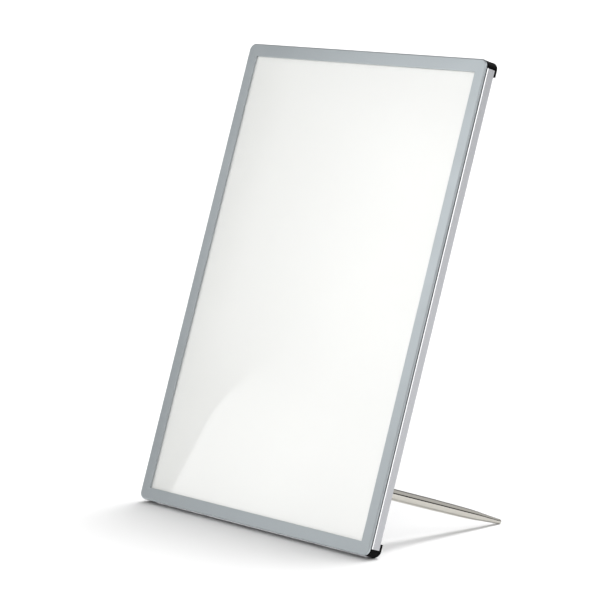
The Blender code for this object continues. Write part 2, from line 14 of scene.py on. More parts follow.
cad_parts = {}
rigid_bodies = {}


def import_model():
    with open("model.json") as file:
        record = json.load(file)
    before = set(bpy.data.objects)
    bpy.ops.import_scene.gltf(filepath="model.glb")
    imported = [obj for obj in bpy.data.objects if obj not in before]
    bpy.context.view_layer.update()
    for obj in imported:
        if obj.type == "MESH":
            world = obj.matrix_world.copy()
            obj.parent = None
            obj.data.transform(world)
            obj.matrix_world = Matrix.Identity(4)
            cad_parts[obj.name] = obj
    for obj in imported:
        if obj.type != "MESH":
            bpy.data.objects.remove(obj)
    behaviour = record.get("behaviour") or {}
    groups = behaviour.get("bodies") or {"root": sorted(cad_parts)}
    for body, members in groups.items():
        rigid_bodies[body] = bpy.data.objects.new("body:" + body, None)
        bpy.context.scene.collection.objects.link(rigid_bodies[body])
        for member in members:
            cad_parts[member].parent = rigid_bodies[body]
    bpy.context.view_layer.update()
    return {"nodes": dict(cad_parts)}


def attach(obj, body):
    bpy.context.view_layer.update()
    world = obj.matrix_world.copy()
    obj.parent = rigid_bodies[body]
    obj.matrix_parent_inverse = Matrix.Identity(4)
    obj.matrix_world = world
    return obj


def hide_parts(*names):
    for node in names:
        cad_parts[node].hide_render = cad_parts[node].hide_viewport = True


for old in list(bpy.data.objects):
    bpy.data.objects.remove(old, do_unlink=True)

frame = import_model()
nodes = frame["nodes"]

MM = 0.001
W, H, BORDER = 321.0, 444.0, 12.0
HW = W / 2
TILT = math.radians(18.2)
PANEL = Matrix.Translation((0.0, -0.09636253863573074, 0.0041539426892995834)) @ Matrix.Rotation(-TILT, 4, "X")
LEG_X, LEG_Z = 128.2, 57.584266628854614
AXIS_N, BUTTON_Z, INLET_Z = 6.85, 50.0, 72.0


# ================================================================ materials
class Mat:
    """A small helper that builds one node material."""

    def __init__(self, name):
        self.m = bpy.data.materials.new(name)
        self.m.use_nodes = True
        self.t = self.m.node_tree
        self.b = self.t.nodes["Principled BSDF"]
        self.obj = self.new("ShaderNodeTexCoord").outputs["Object"]

    def new(self, kind, **props):
        n = self.t.nodes.new(kind)
        for k, v in props.items():
            setattr(n, k, v)
        return n

    def link(self, a, b):
        self.t.links.new(a, b)

    def put(self, **values):
        for k, v in values.items():
            s = self.b.inputs[k.replace("_", " ")]
            s.default_value = (*v, 1.0) if isinstance(v, tuple) and len(v) == 3 else v
        return self

    def coords(self, scale):
        mp = self.new("ShaderNodeMapping")
        mp.inputs["Scale"].default_value = scale
        self.link(self.obj, mp.inputs["Vector"])
        return mp.outputs["Vector"]

    def noise(self, scale, detail=3.0, rough=0.5, stretch=(1, 1, 1), distortion=0.0):
        n = self.new("ShaderNodeTexNoise")
        n.inputs["Scale"].default_value = scale
        n.inputs["Detail"].default_value = detail
        n.inputs["Roughness"].default_value = rough
        n.inputs["Distortion"].default_value = distortion
        self.link(self.coords(stretch), n.inputs["Vector"])
        return n.outputs["Fac"]

    def voronoi(self, scale, feature="F1", randomness=1.0):
        n = self.new("ShaderNodeTexVoronoi", feature=feature)
        n.inputs["Scale"].default_value = scale
        n.inputs["Randomness"].default_value = randomness
        self.link(self.coords((1, 1, 1)), n.inputs["Vector"])
        return n.outputs["Distance"]

    def span(self, fac, lo, hi, a=0.0, b=1.0, smooth=False):
        n = self.new("ShaderNodeMapRange")
        if smooth:
            n.interpolation_type = "SMOOTHSTEP"
        n.inputs["From Min"].default_value = a
        n.inputs["From Max"].default_value = b
        n.inputs["To Min"].default_value = lo
        n.inputs["To Max"].default_value = hi
        self.link(fac, n.inputs["Value"])
        return n.outputs["Result"]

    def math(self, op, a, b):
        n = self.new("ShaderNodeMath", operation=op)
        for s, v in zip(n.inputs, (a, b)):
            if isinstance(v, (int, float)):
                s.default_value = v
            else:
                self.link(v, s)
        return n.outputs[0]

    def mix(self, fac, a, b):
        n = self.new("ShaderNodeMix", data_type="RGBA")
        self.link(fac, n.inputs["Factor"])
        n.inputs[6].default_value = (*a, 1.0)
        n.inputs[7].default_value = (*b, 1.0)
        return n.outputs[2]

    def bump(self, height, distance, strength=1.0, after=None):
        n = self.new("ShaderNodeBump")
        n.inputs["Strength"].default_value = strength
        n.inputs["Distance"].default_value = distance
        self.link(height, n.inputs["Height"])
        if after is not None:
            self.link(after, n.inputs["Normal"])
        self.link(n.outputs["Normal"], self.b.inputs["Normal"])
        return n.outputs["Normal"]

    def color(self, out):
        self.link(out, self.b.inputs["Base Color"])
        return self

    def rough(self, out):
        self.link(out, self.b.inputs["Roughness"])
        return self


def lin(r, g, b):
    return tuple((c / 12.92 if c <= 0.04045 else ((c + 0.055) / 1.055) ** 2.4) for c in (r / 255, g / 255, b / 255))


# satin anodised plate: fine bead-blasted skin with a faint cloudiness
m = Mat("bezel_satin_anodised").put(Metallic=1.0)
cloud = m.noise(26, 4, 0.6)
m.color(m.mix(cloud, lin(181, 188, 192), lin(190, 197, 200)))
m.rough(m.span(cloud, 0.29, 0.35, 0.25, 0.75))
skin = m.bump(m.noise(5200, 2, 0.6), 0.000004, 0.5)
m.bump(m.noise(900, 2, 0.5), 0.000003, 0.5, after=skin)
M_BEZEL = m.m


def extruded(name, stretch):
    """Satin anodised extrusion with fine die lines along its length."""
    m = Mat(name).put(Metallic=1.0, Anisotropic=0.35)
    lines = m.noise(1.0, 4, 0.65, stretch)
    cloud = m.noise(18, 3, 0.5)
    m.color(m.mix(cloud, lin(177, 178, 182), lin(186, 187, 190)))
    m.rough(m.math("ADD", m.span(lines, 0.24, 0.36, 0.2, 0.8), m.span(cloud, -0.02, 0.02)))
    first = m.bump(lines, 0.000006, 0.5)
    m.bump(m.noise(4200, 2, 0.6), 0.000003, 0.35, after=first)
    return m.m


M_RAIL_Z = extruded("rail_satin_anodised_upright", (5200, 5200, 14))
M_RAIL_X = extruded("rail_satin_anodised_cross", (14, 5200, 5200))

# the rails' front corner is given a near-white colour, a painted highlight, so it shows as a fine light line; its low
# roughness also catches real reflections
m = Mat("rail_edge_painted_highlight").put(Metallic=1.0)
# near-white base colour: painted highlight along the rail's front corner
m.color(m.mix(m.noise(60, 3), lin(238, 239, 240), lin(246, 246, 247)))
m.rough(m.span(m.noise(1.0, 3, 0.5, (300, 300, 300)), 0.10, 0.18))
M_EDGE_HIGHLIGHT = m.m

# moulded black plastic: a fine spark-eroded grain, smooth enough to glint
m = Mat("moulded_black_plastic")
grain = m.noise(2600, 3, 0.6)
m.color(m.mix(m.noise(120, 3), (0.0016, 0.0016, 0.0018), (0.0032, 0.0032, 0.0034)))
m.rough(m.span(grain, 0.24, 0.34, 0.3, 0.7))
m.put(IOR=1.5, Specular_IOR_Level=0.045)
m.bump(grain, 0.000010, 0.35)
M_BLACK = m.m

m = Mat("closed_cell_foam")
cells = m.voronoi(2600)
m.color(m.mix(cells, (0.006, 0.006, 0.0065), (0.016, 0.016, 0.017)))
m.rough(m.span(m.noise(700, 3), 0.86, 0.98))
m.bump(cells, 0.00008, 0.5)
M_FOAM = m.m

m = Mat("matt_black_rubber")
m.color(m.mix(m.noise(900, 4), (0.008, 0.008, 0.0085), (0.013, 0.013, 0.0135)))
m.rough(m.span(m.noise(1500, 3), 0.6, 0.78))
m.bump(m.noise(3200, 3), 0.00001, 0.5)
M_RUBBER = m.m

# opal acrylic sheet: a polished face over a milky body, evenly lit from inside
m = Mat("opal_acrylic_lit")
body = m.noise(7, 3, 0.5)
m.color(m.mix(body, (0.735, 0.742, 0.722), (0.755, 0.760, 0.742)))
m.rough(m.span(m.noise(60, 3), 0.016, 0.03))
m.put(IOR=1.49, Emission_Strength=0.04)
m.b.inputs["Emission Color"].default_value = (1.0, 1.0, 0.975, 1.0)
m.bump(m.noise(55, 2, 0.4), 0.000004, 0.25)
M_OPAL = m.m

m = Mat("matt_white_film")
m.color(m.mix(m.noise(300, 3), (0.90, 0.90, 0.89), (0.94, 0.94, 0.93)))
m.rough(m.span(m.noise(1800, 3), 0.5, 0.62))
m.bump(m.noise(2400, 3), 0.000008, 0.4)
M_FILM = m.m

m = Mat("clear_acrylic_guide").put(IOR=1.49, Transmission_Weight=1.0)
m.color(m.mix(m.noise(90, 2), (0.93, 0.97, 0.965), (0.955, 0.985, 0.98)))
m.rough(m.span(m.noise(400, 2), 0.02, 0.06))
M_CLEAR = m.m

# powder coated sheet: orange-peel relief with fine speckle
m = Mat("powder_coated_sheet")
peel = m.noise(1100, 3, 0.55)
fleck = m.voronoi(3800)
m.color(m.mix(m.noise(34, 4, 0.6), lin(50, 51, 54), lin(58, 59, 62)))
m.rough(m.math("ADD", m.span(peel, 0.38, 0.5, 0.3, 0.7), m.span(fleck, 0.0, 0.06)))
first = m.bump(peel, 0.00005, 0.45)
m.bump(fleck, 0.00002, 0.25, after=first)
M_BACK = m.m

m = Mat("solder_mask_white")
m.color(m.mix(m.noise(500, 3), (0.78, 0.76, 0.66), (0.84, 0.82, 0.72)))
m.rough(m.span(m.noise(900, 2), 0.3, 0.45))
M_MASK = m.m

m = Mat("led_phosphor")
m.color(m.mix(m.noise(3000, 2), (0.86, 0.66, 0.16), (0.92, 0.76, 0.26)))
m.rough(m.span(m.noise(2500, 2), 0.3, 0.5))
M_LED = m.m

m = Mat("solder_mask_green")
trace = m.noise(1.0, 1, 0.3, (900, 900, 220))
m.color(m.mix(m.span(trace, 0, 1, 0.48, 0.52), (0.010, 0.070, 0.028), (0.020, 0.125, 0.055)))
m.rough(m.span(m.noise(900, 2), 0.25, 0.4))
m.bump(trace, 0.00003, 0.3)
M_PCB = m.m


def jacket(name, a, b):
    m = Mat(name)
    m.color(m.mix(m.noise(700, 3), a, b))
    m.rough(m.span(m.noise(1400, 2), 0.34, 0.5))
    return m.m


M_RED = jacket("wire_jacket_red", (0.36, 0.016, 0.012), (0.44, 0.022, 0.017))
M_BWIRE = jacket("wire_jacket_black", (0.007, 0.007, 0.008), (0.012, 0.012, 0.013))

# polished nickel on turned steel: fine rings left by the lathe, faint haze
m = Mat("polished_nickel_turned").put(Metallic=1.0)
rings = m.noise(1.0, 3, 0.6, (120, 9000, 120))
haze = m.noise(70, 4, 0.6)
m.color(m.mix(haze, lin(190, 187, 179), lin(200, 197, 190)))
m.rough(m.math("ADD", m.span(rings, 0.035, 0.07, 0.25, 0.75), m.span(haze, -0.01, 0.02)))
m.bump(rings, 0.0000016, 0.45)
M_NICKEL = m.m

# zinc plated turned steel
m = Mat("zinc_plated_turned").put(Metallic=1.0)
face = m.noise(240, 4, 0.6)
m.color(m.mix(face, lin(166, 168, 172), lin(188, 189, 190)))
m.rough(m.span(face, 0.24, 0.42, 0.25, 0.75))
m.bump(m.noise(3400, 3), 0.000006, 0.5)
M_ZINC = m.m

m = Mat("black_oxide_steel").put(Metallic=1.0)
face = m.noise(420, 4, 0.6)
m.color(m.mix(face, (0.028, 0.028, 0.030), (0.052, 0.052, 0.056)))
m.rough(m.span(face, 0.3, 0.46, 0.25, 0.75))
m.bump(m.noise(3600, 3), 0.000006, 0.5)
M_OXIDE = m.m

m = Mat("tin_plated_contact").put(Metallic=1.0)
m.color(m.mix(m.noise(900, 3), lin(196, 194, 188), lin(214, 212, 206)))
m.rough(m.span(m.noise(1500, 3), 0.16, 0.3))
M_TIN = m.m


# ================================================================ mesh tools
def finish_mesh(bm, name, smooth=35.0):
    bmesh.ops.remove_doubles(bm, verts=bm.verts[:], dist=1e-7)
    bmesh.ops.recalc_face_normals(bm, faces=bm.faces[:])
    me = bpy.data.meshes.new(name)
    bm.to_mesh(me)
    bm.free()
    me.shade_smooth()
    me.set_sharp_from_angle(angle=math.radians(smooth))
    return me


def add(name, me, mat, body="panel", stands_for=(), weighted=True, at=None):
    """Show a mesh that is drawn in the panel's frame, riding on a CAD body."""
    ob = bpy.data.objects.new(name, me)
    bpy.context.scene.collection.objects.link(ob)
    ob.matrix_world = PANEL if at is None else PANEL @ at
    if mat is not None and not me.materials:
        me.materials.append(mat)
    if weighted:
        wn = ob.modifiers.new("even_normals", "WEIGHTED_NORMAL")
        wn.keep_sharp = True
        wn.weight = 60
    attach(ob, body)
    if stands_for:
        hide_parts(*([stands_for] if isinstance(stands_for, str) else stands_for))
    return ob


def arc(cx, cy, r, a0, a1, seg):
    return [(cx + r * math.cos(math.radians(a0 + (a1 - a0) * k / seg)),
             cy + r * math.sin(math.radians(a0 + (a1 - a0) * k / seg))) for k in range(seg + 1)]


def rr(x0, x1, z0, z1, r, seg=10):
    return (arc(x1 - r, z0 + r, r, -90, 0, seg) + arc(x1 - r, z1 - r, r, 0, 90, seg)
            + arc(x0 + r, z1 - r, r, 90, 180, seg) + arc(x0 + r, z0 + r, r, 180, 270, seg))


def loft(bm, rings, wrap=False, caps=False):
    """Faces between matching rings of points; each ring is closed on itself."""
    made = [[bm.verts.new(p) for p in ring] for ring in rings]
    pairs = list(zip(made, made[1:])) + ([(made[-1], made[0])] if wrap else [])
    for a, b in pairs:
        k = len(a)
        for i in range(k):
            j = (i + 1) % k
            bm.faces.new((a[i], a[j], b[j], b[i]))
    if caps:
        bm.faces.new(made[0])
        bm.faces.new(made[-1])
    return made


def turned(bm, profile, seg=64, x=0.0, z=0.0, wrap=False):
    """Rings about an axis that runs in depth; a radius of 0 closes an end."""
    rows = []
    for r, n in profile:
        if r <= 0:
            rows.append([bm.verts.new((x * MM, n * MM, z * MM))])
        else:
            rows.append([bm.verts.new(((x + r * math.cos(2 * math.pi * k / seg)) * MM, n * MM,
                                       (z + r * math.sin(2 * math.pi * k / seg)) * MM)) for k in range(seg)])
    for a, b in list(zip(rows, rows[1:])) + ([(rows[-1], rows[0])] if wrap else []):
        for k in range(seg):
            j = (k + 1) % seg
            if len(a) == 1 and len(b) == 1:
                continue
            if len(a) == 1:
                bm.faces.new((a[0], b[j], b[k]))
            elif len(b) == 1:
                bm.faces.new((a[k], a[j], b[0]))
            else:
                bm.faces.new((a[k], a[j], b[j], b[k]))


FRONT = Matrix.Rotation(math.radians(90), 4, "X")      # outline (x, z), extruded in depth
SIDE = Matrix.Identity(4)                               # outline (x, n), extruded in height
ACROSS = Matrix.Rotation(math.radians(-90), 4, "Y")     # outline (z, n), extruded in width
SHIFT = {"F": Vector((0, 1, 0)), "S": Vector((0, 0, 1)), "A": Vector((1, 0, 0))}


def extrude(outlines, lo, hi, turn):
    """Closed outlines (later ones are holes) filled and extruded from lo to hi."""
    cu = bpy.data.curves.new("outline", "CURVE")
    cu.dimensions = "2D"
    cu.fill_mode = "BOTH"
    cu.extrude = (hi - lo) * MM / 2
    for pts in outlines:
        sp = cu.splines.new("POLY")
        sp.points.add(len(pts) - 1)
        for p, (a, b) in zip(sp.points, pts):
            p.co = (a * MM, b * MM, 0.0, 1.0)
        sp.use_cyclic_u = True
    tmp = bpy.data.objects.new("outline", cu)
    bpy.context.scene.collection.objects.link(tmp)
    me = bpy.data.meshes.new_from_object(tmp.evaluated_get(bpy.context.evaluated_depsgraph_get()))
    bpy.data.objects.remove(tmp, do_unlink=True)
    bpy.data.curves.remove(cu)
    bm = bmesh.new()
    bm.from_mesh(me)
    bpy.data.meshes.remove(me)
    bmesh.ops.remove_doubles(bm, verts=bm.verts[:], dist=1e-6)
    bmesh.ops.transform(bm, matrix=turn, verts=bm.verts[:])
    key = "F" if turn is FRONT else ("S" if turn is SIDE else "A")
    bmesh.ops.translate(bm, vec=SHIFT[key] * ((hi + lo) * MM / 2), verts=bm.verts[:])
    return bm


def box_bm(x, n, z):
    bm = bmesh.new()
    bmesh.ops.create_cube(bm, size=1.0)
    bmesh.ops.scale(bm, vec=Vector((x[1] - x[0], n[1] - n[0], z[1] - z[0])) * MM, verts=bm.verts[:])
    bmesh.ops.translate(bm, vec=Vector((x[1] + x[0], n[1] + n[0], z[1] + z[0])) * (MM / 2), verts=bm.verts[:])
    return bm


def cyl_bm(axis, a, b, r, lo, hi, seg=32, r2=None):
    """A cylinder or cone along N (a = x, b = z) or X (a = n, b = z)."""
    bm = bmesh.new()
    r2 = r if r2 is None else r2
    ring = lambda rad, t: [((a + rad * math.cos(2 * math.pi * k / seg)) * MM, t * MM, (b + rad * math.sin(2 * math.pi * k / seg)) * MM)
                           if axis == "N" else
                           (t * MM, (a + rad * math.cos(2 * math.pi * k / seg)) * MM, (b + rad * math.sin(2 * math.pi * k / seg)) * MM)
                           for k in range(seg)]
    loft(bm, [ring(r, lo), ring(r2, hi)], caps=True)
    bmesh.ops.recalc_face_normals(bm, faces=bm.faces[:])
    return bm


def to_tmp(bm, name="tool"):
    bmesh.ops.recalc_face_normals(bm, faces=bm.faces[:])
    me = bpy.data.meshes.new(name)
    bm.to_mesh(me)
    bm.free()
    ob = bpy.data.objects.new(name, me)
    bpy.context.scene.collection.objects.link(ob)
    return ob


def combine(base_bm, steps, name, smooth=35.0):
    """Boolean steps [(operation, bmesh), ...] applied in turn; returns a mesh."""
    base = to_tmp(base_bm, name)
    tools = []
    for op, bm in steps:
        t = to_tmp(bm)
        tools.append(t)
        mod = base.modifiers.new(op.lower(), "BOOLEAN")
        mod.operation, mod.solver, mod.object = op, "EXACT", t
    bpy.context.view_layer.update()
    me = bpy.data.meshes.new_from_object(base.evaluated_get(bpy.context.evaluated_depsgraph_get()))
    for o in [base] + tools:
        bpy.data.objects.remove(o, do_unlink=True)
    me.name = name
    me.shade_smooth()
    me.set_sharp_from_angle(angle=math.radians(smooth))
    return me


def bevel_where(bm, test, offset, segments):
    """Round the sharp edges for which test(middle point, edge) is true; lengths in mm."""
    chosen = []
    for e in bm.edges:
        if len(e.link_faces) == 2 and e.calc_face_angle(0) > math.radians(40):
            c = (e.verts[0].co + e.verts[1].co) / (2 * MM)
            if test(c, e):
                chosen.append(e)
    bmesh.ops.bevel(bm, geom=chosen, offset=offset * MM, segments=segments, profile=0.5,
                    affect="EDGES", clamp_overlap=False)


# ================================================================ front bezel
def frame_ring(inset, n, r, seg=12):
    return [(x * MM, n * MM, z * MM) for x, z in rr(-HW + inset, HW - inset, inset, H - inset, r, seg)]


section = [(1.3 - 1.3 * math.sin(t), 1.3 - 1.3 * math.cos(t)) for t in
           [math.radians(90 - 90 * k / 8) for k in range(9)]]          # outer rounding, (inset, n)
section += [(11.70, 0.0), (11.85, 0.035), (11.96, 0.13), (12.0, 0.3), (12.0, 1.62), (11.95, 1.75), (11.8, 1.8),
            (8.9, 1.8), (8.6, 2.0), (8.6, 3.85), (8.45, 4.0), (7.55, 4.0), (7.4, 3.85), (7.4, 2.0), (7.2, 1.8),
            (0.3, 1.8), (0.09, 1.71), (0.0, 1.5)]
bm = bmesh.new()
loft(bm, [frame_ring(i, n, max(7.0 - i, 0.22)) for i, n in section], wrap=True)
add("bezel_plate", finish_mesh(bm, "bezel_plate", 50), M_BEZEL, stands_for="front_bezel")


# ================================================================ frame rails
def rail_outline(sign, base):
    """Hollow rail section with a rounded front outer edge; (across, n)."""
    at = lambda inset, n: (base - sign * inset, n)
    shell = [(7.0, 3.15), (6.85, 3.0), (0.36, 3.0), (0.27, 3.03), (0.22, 3.12), (0.02, 4.16), (0.0, 4.3)]
    shell += [(0.0, 11.8), (0.06, 11.94), (0.2, 12.0), (0.7, 12.0), (0.84, 11.94), (0.9, 11.8), (0.9, 10.7), (7.0, 10.7)]
    chamber = [(5.8, 4.2), (1.6, 4.2), (1.5, 4.4), (1.5, 9.5), (5.8, 9.5)]
    return [[at(*p) for p in shell], [at(*p) for p in chamber]]


def paint_edge_highlight(me, sign, base, across):
    """Give the sloping front corner of a rail a near-white colour: a painted highlight."""
    me.materials.append(M_RAIL_Z if across == 0 else M_RAIL_X)
    me.materials.append(M_EDGE_HIGHLIGHT)
    for f in me.polygons:
        c = f.center / MM
        if 3.1 < c.y < 4.2 and abs(sign * (base - c[across])) < 0.35:
            f.material_index = 1
    return me


END = 7.3
add("rail_right", paint_edge_highlight(finish_mesh(extrude(rail_outline(1, HW), END, H - END, SIDE), "rail_right", 25), 1, HW, 0), M_RAIL_Z,
    stands_for="side_rail_right")
add("rail_top", paint_edge_highlight(finish_mesh(extrude(rail_outline(1, H), -HW + END, HW - END, ACROSS), "rail_top", 25), 1, H, 2), M_RAIL_X,
    stands_for="top_rail")
add("rail_bottom", paint_edge_highlight(finish_mesh(extrude(rail_outline(-1, 0), -HW + END, HW - END, ACROSS), "rail_bottom", 25), -1, 0, 2), M_RAIL_X,
    stands_for="bottom_rail")


def capsule(half_len, half_wide, n, z, seg=16):
    pts = []
    for cz, a0 in ((z + half_len - half_wide, 0), (z - half_len + half_wide, 180)):
        for k in range(seg + 1):
            a = math.radians(a0 + 180.0 * k / seg)
            pts.append((cz + half_wide * math.sin(a), n + half_wide * math.cos(a)))
    return pts


# the left rail has the button's slot and the inlet's hole through its outer wall
steps = [("DIFFERENCE", box_bm((-155.2, -153.0), (4.5, 9.2), (27, 83))),
         ("DIFFERENCE", extrude([capsule(4.3, 2.1, AXIS_N, BUTTON_Z)], -161.5, -158.4, ACROSS)),
         ("DIFFERENCE", cyl_bm("X", AXIS_N, INLET_Z, 2.4, -161.5, -158.4, 48))]
add("rail_left", paint_edge_highlight(combine(extrude(rail_outline(-1, -HW), END, H - END, SIDE), steps, "rail_left", 25), -1, -HW, 0), M_RAIL_Z,
    stands_for="side_rail_left")


# ================================================================ corner caps
def corner_xz(sx, sz, ix, iz):
    return (sx * (HW - ix), iz if sz < 0 else H - iz)


def corner_outline(sx, sz, size, r, inset=0.0, seg=14):
    pts = [(size, inset), (size, size), (inset, size)]
    pts += [(inset + r - r * math.cos(math.radians(90.0 * k / seg)), inset + r - r * math.sin(math.radians(90.0 * k / seg)))
            for k in range(seg + 1)]
    return [corner_xz(sx, sz, a, b) for a, b in pts]


def corner_box(sx, sz, ix, iz, n):
    xa, za = corner_xz(sx, sz, ix[0], iz[0])
    xb, zb = corner_xz(sx, sz, ix[1], iz[1])
    return box_bm((min(xa, xb), max(xa, xb)), n, (min(za, zb), max(za, zb)))


def rounding(n, r):
    """Inset at depth n of a rounding of radius r that ends at the pad's rear face."""
    return r - math.sqrt(max(r * r - max(n - 15.0 + r, 0.0) ** 2, 0.0))


def pad_rings(sx, sz):
    """Rear pad: 2 mm rounding under the bottom pads, which they stand on, and tight ones elsewhere."""
    rings = []
    for k in range(-1, 9):
        n = 12.3 if k < 0 else 13.0 + 2.0 * math.sin(math.radians(11.25 * k))
        ix, iz, end = rounding(n, 0.7), rounding(n, 2.0 if sz < 0 else 0.7), 13.0 - rounding(n, 0.6)
        pts = [(end, iz), (end, end), (ix, end)]
        pts += [(ix + (7.0 - ix) * (1 - math.cos(math.radians(90.0 * i / 14))), iz + (7.0 - iz) * (1 - math.sin(math.radians(90.0 * i / 14))))
                for i in range(15)]
        rings.append([(x * MM, n * MM, z * MM) for x, z in (corner_xz(sx, sz, a, b) for a, b in pts)])
    return rings


for tag, sx, sz in (("bottom_left", -1, -1), ("bottom_right", 1, -1), ("top_left", -1, 1), ("top_right", 1, 1)):
    bm = bmesh.new()
    loft(bm, pad_rings(sx, sz), caps=True)
    bmesh.ops.recalc_face_normals(bm, faces=bm.faces[:])
    x, z = corner_xz(sx, sz, 3.65, 9.5)
    block = extrude([corner_outline(sx, sz, 7.0, 6.85, 0.15, 14)], 3.0, 13.0, FRONT)
    bevel_where(block, lambda c, e: c.y < 3.01, 0.35, 3)
    steps = [("UNION", block),
             ("UNION", corner_box(sx, sz, (1.8, 5.5), (6.0, 25.0), (4.5, 9.2))),
             ("UNION", corner_box(sx, sz, (6.0, 25.0), (1.8, 5.5), (4.5, 9.2))),
             ("DIFFERENCE", cyl_bm("N", x, z, 1.3, 5.2, 13.6, 24)),
             ("DIFFERENCE", cyl_bm("N", x, z, 2.8, 13.2, 15.6, 48))]
    add("cap_" + tag, combine(bm, steps, "cap_" + tag, 40), M_BLACK, stands_for="corner_cap_" + tag)


# ================================================================ screws
def screw_mesh(name, head_r, head_h, shank_r, n_head, n_end, slot_len, slot_wide, slot_deep):
    """Pan head with a cross recess and a threaded shank, about the depth axis."""
    bm = bmesh.new()
    prof = [(0.0, n_head + head_h)]
    crown = head_r * 0.55
    prof += [(crown * k / 3, n_head + head_h - 0.03 * (k / 3) ** 2 * head_h) for k in range(1, 4)]
    for k in range(1, 9):
        a = math.radians(90 * k / 8)
        prof.append((crown + (head_r - crown) * math.sin(a), n_head + head_h * (0.22 + 0.75 * math.cos(a))))
    prof += [(head_r, n_head + 0.08), (head_r - 0.08, n_head), (shank_r, n_head)]
    t = n_head - 0.3
    while t > n_end + 1.0:                      # thread drawn as close rings
        prof += [(shank_r, t), (shank_r - 0.22, t - 0.25)]
        t -= 0.5
    prof += [(shank_r - 0.1, t), (0.0, n_end)]
    turned(bm, prof, 40)
    cross = bmesh.new()
    top, low = n_head + head_h + 0.3, n_head + head_h - slot_deep

    def plus(L, w, n):
        pts = [(w, w), (L, w * 0.8), (L, -w * 0.8), (w, -w), (w * 0.8, -L), (-w * 0.8, -L), (-w, -w), (-L, -w * 0.8), (-L, w * 0.8),
               (-w, w), (-w * 0.8, L), (w * 0.8, L)]
        return [(a * MM, n * MM, b * MM) for a, b in pts]
    loft(cross, [plus(slot_len, slot_wide, top), plus(slot_len * 0.55, slot_wide * 0.7, low)], caps=True)
    return combine(bm, [("DIFFERENCE", cross)], name, 35)


def screw(name, me, x, z, turn, mat, stands_for):
    at = Matrix.Translation((x * MM, 0, z * MM)) @ Matrix.Rotation(turn, 4, "Y")
    return add(name, me, mat, stands_for=stands_for, at=at)


back_me = screw_mesh("back_screw", 2.5, 1.3, 1.1, 12.3, 8.0, 1.35, 0.34, 0.85)
spots = []
for zz in (110.0, 222.0, 334.0):
    spots += [(-HW + 4.25, zz), (HW - 4.25, zz)]
for xx in (-76.0, 76.0):
    spots += [(xx, 4.25), (xx, H - 4.25)]
for k, (x, z) in enumerate(spots):
    screw("pan_screw_%02d" % (k + 1), back_me, x, z, 0.4 + 1.9 * k, M_OXIDE, "back_screw_%02d" % (k + 1))
corner_me = screw_mesh("corner_screw", 2.4, 1.2, 1.0, 13.5, 5.6, 1.3, 0.32, 0.8)
for k, (tag, sx, sz) in enumerate((("bottom_left", -1, -1), ("bottom_right", 1, -1), ("top_left", -1, 1), ("top_right", 1, 1))):
    x, z = corner_xz(sx, sz, 3.65, 9.5)
    screw("cap_screw_" + tag, corner_me, x, z, 0.9 + 1.3 * k, M_OXIDE, "corner_screw_" + tag)
socket_me = screw_mesh("socket_screw", 2.2, 1.2, 1.1, 15.0, 10.2, 1.2, 0.31, 0.8)
socket_spots = []
for s, side in ((-1, "left"), (1, "right")):
    for k in range(3):
        a = math.radians(90 + 120 * k)
        x, z = s * LEG_X + 8.6 * math.cos(a), LEG_Z + 8.6 * math.sin(a)
        socket_spots.append((side, x, z))
        screw("plate_screw_%s_%d" % (side, k + 1), socket_me, x, z, 0.7 * k + (0.3 if s > 0 else 1.1), M_ZINC,
              "socket_screw_%s_%d" % (side, k + 1))


# ================================================================ leg sockets, washers, legs
for s, side in ((-1, "left"), (1, "right")):
    bm = bmesh.new()
    prof = [(3.3, 14.45), (3.55, 14.7), (11.35, 14.7)]
    prof += [(11.35 + 0.65 * math.sin(math.radians(90 * k / 5)), 14.05 + 0.65 * math.cos(math.radians(90 * k / 5))) for k in range(1, 6)]
    prof += [(12.0, 12.4), (11.9, 12.3), (5.0, 12.3), (5.0, 10.15), (4.85, 10.0), (3.4, 10.0), (3.3, 10.1)]
    turned(bm, prof, 96, s * LEG_X, LEG_Z, wrap=True)
    steps = [("DIFFERENCE", cyl_bm("N", x, z, 1.4, 11.8, 15.2, 24)) for sd, x, z in socket_spots if sd == side]
    add("socket_plate_" + side, combine(bm, steps, "socket_plate_" + side, 35), M_ZINC, stands_for="leg_socket_" + side)

    bm = bmesh.new()
    prof = [(3.3, 15.1), (3.4, 15.0)]
    prof += [(5.7 + 0.3 * math.sin(math.radians(a)), 15.3 - 0.3 * math.cos(math.radians(a))) for a in (0, 30, 60, 90)]
    prof += [(5.7 + 0.3 * math.cos(math.radians(a)), 15.5 + 0.3 * math.sin(math.radians(a))) for a in (0, 30, 60, 90)]
    prof += [(3.4, 15.8), (3.3, 15.7)]
    turned(bm, prof, 64, s * LEG_X, LEG_Z, wrap=True)
    add("washer_" + side, finish_mesh(bm, "washer_" + side, 40), M_RUBBER, body="leg_washer_" + side,
        stands_for="leg_washer_" + side)

# outline of the leg from its shoulder to its tip, (radius, depth)
LEG_KEYS = [(5.25, 17.3), (5.25, 88.0), (5.03, 110.0), (4.8, 130.0), (4.5, 142.5), (4.12, 150.5), (3.62, 157.5),
            (3.02, 167.5), (2.62, 175.0), (2.3, 181.1)]


def leg_radius(n):
    """Monotone cubic curve through the keys."""
    k = LEG_KEYS
    d = [(k[i + 1][0] - k[i][0]) / (k[i + 1][1] - k[i][1]) for i in range(len(k) - 1)]
    t = [d[0]] + [0.0 if d[i - 1] * d[i] <= 0 else 2 * d[i - 1] * d[i] / (d[i - 1] + d[i]) for i in range(1, len(d))] + [d[-1]]
    for i in range(len(d)):
        if n <= k[i + 1][1]:
            h = k[i + 1][1] - k[i][1]
            u = min(max((n - k[i][1]) / h, 0.0), 1.0)
            return ((2 * u ** 3 - 3 * u ** 2 + 1) * k[i][0] + (u ** 3 - 2 * u ** 2 + u) * h * t[i]
                    + (-2 * u ** 3 + 3 * u ** 2) * k[i + 1][0] + (u ** 3 - u ** 2) * h * t[i + 1])
    return k[-1][0]


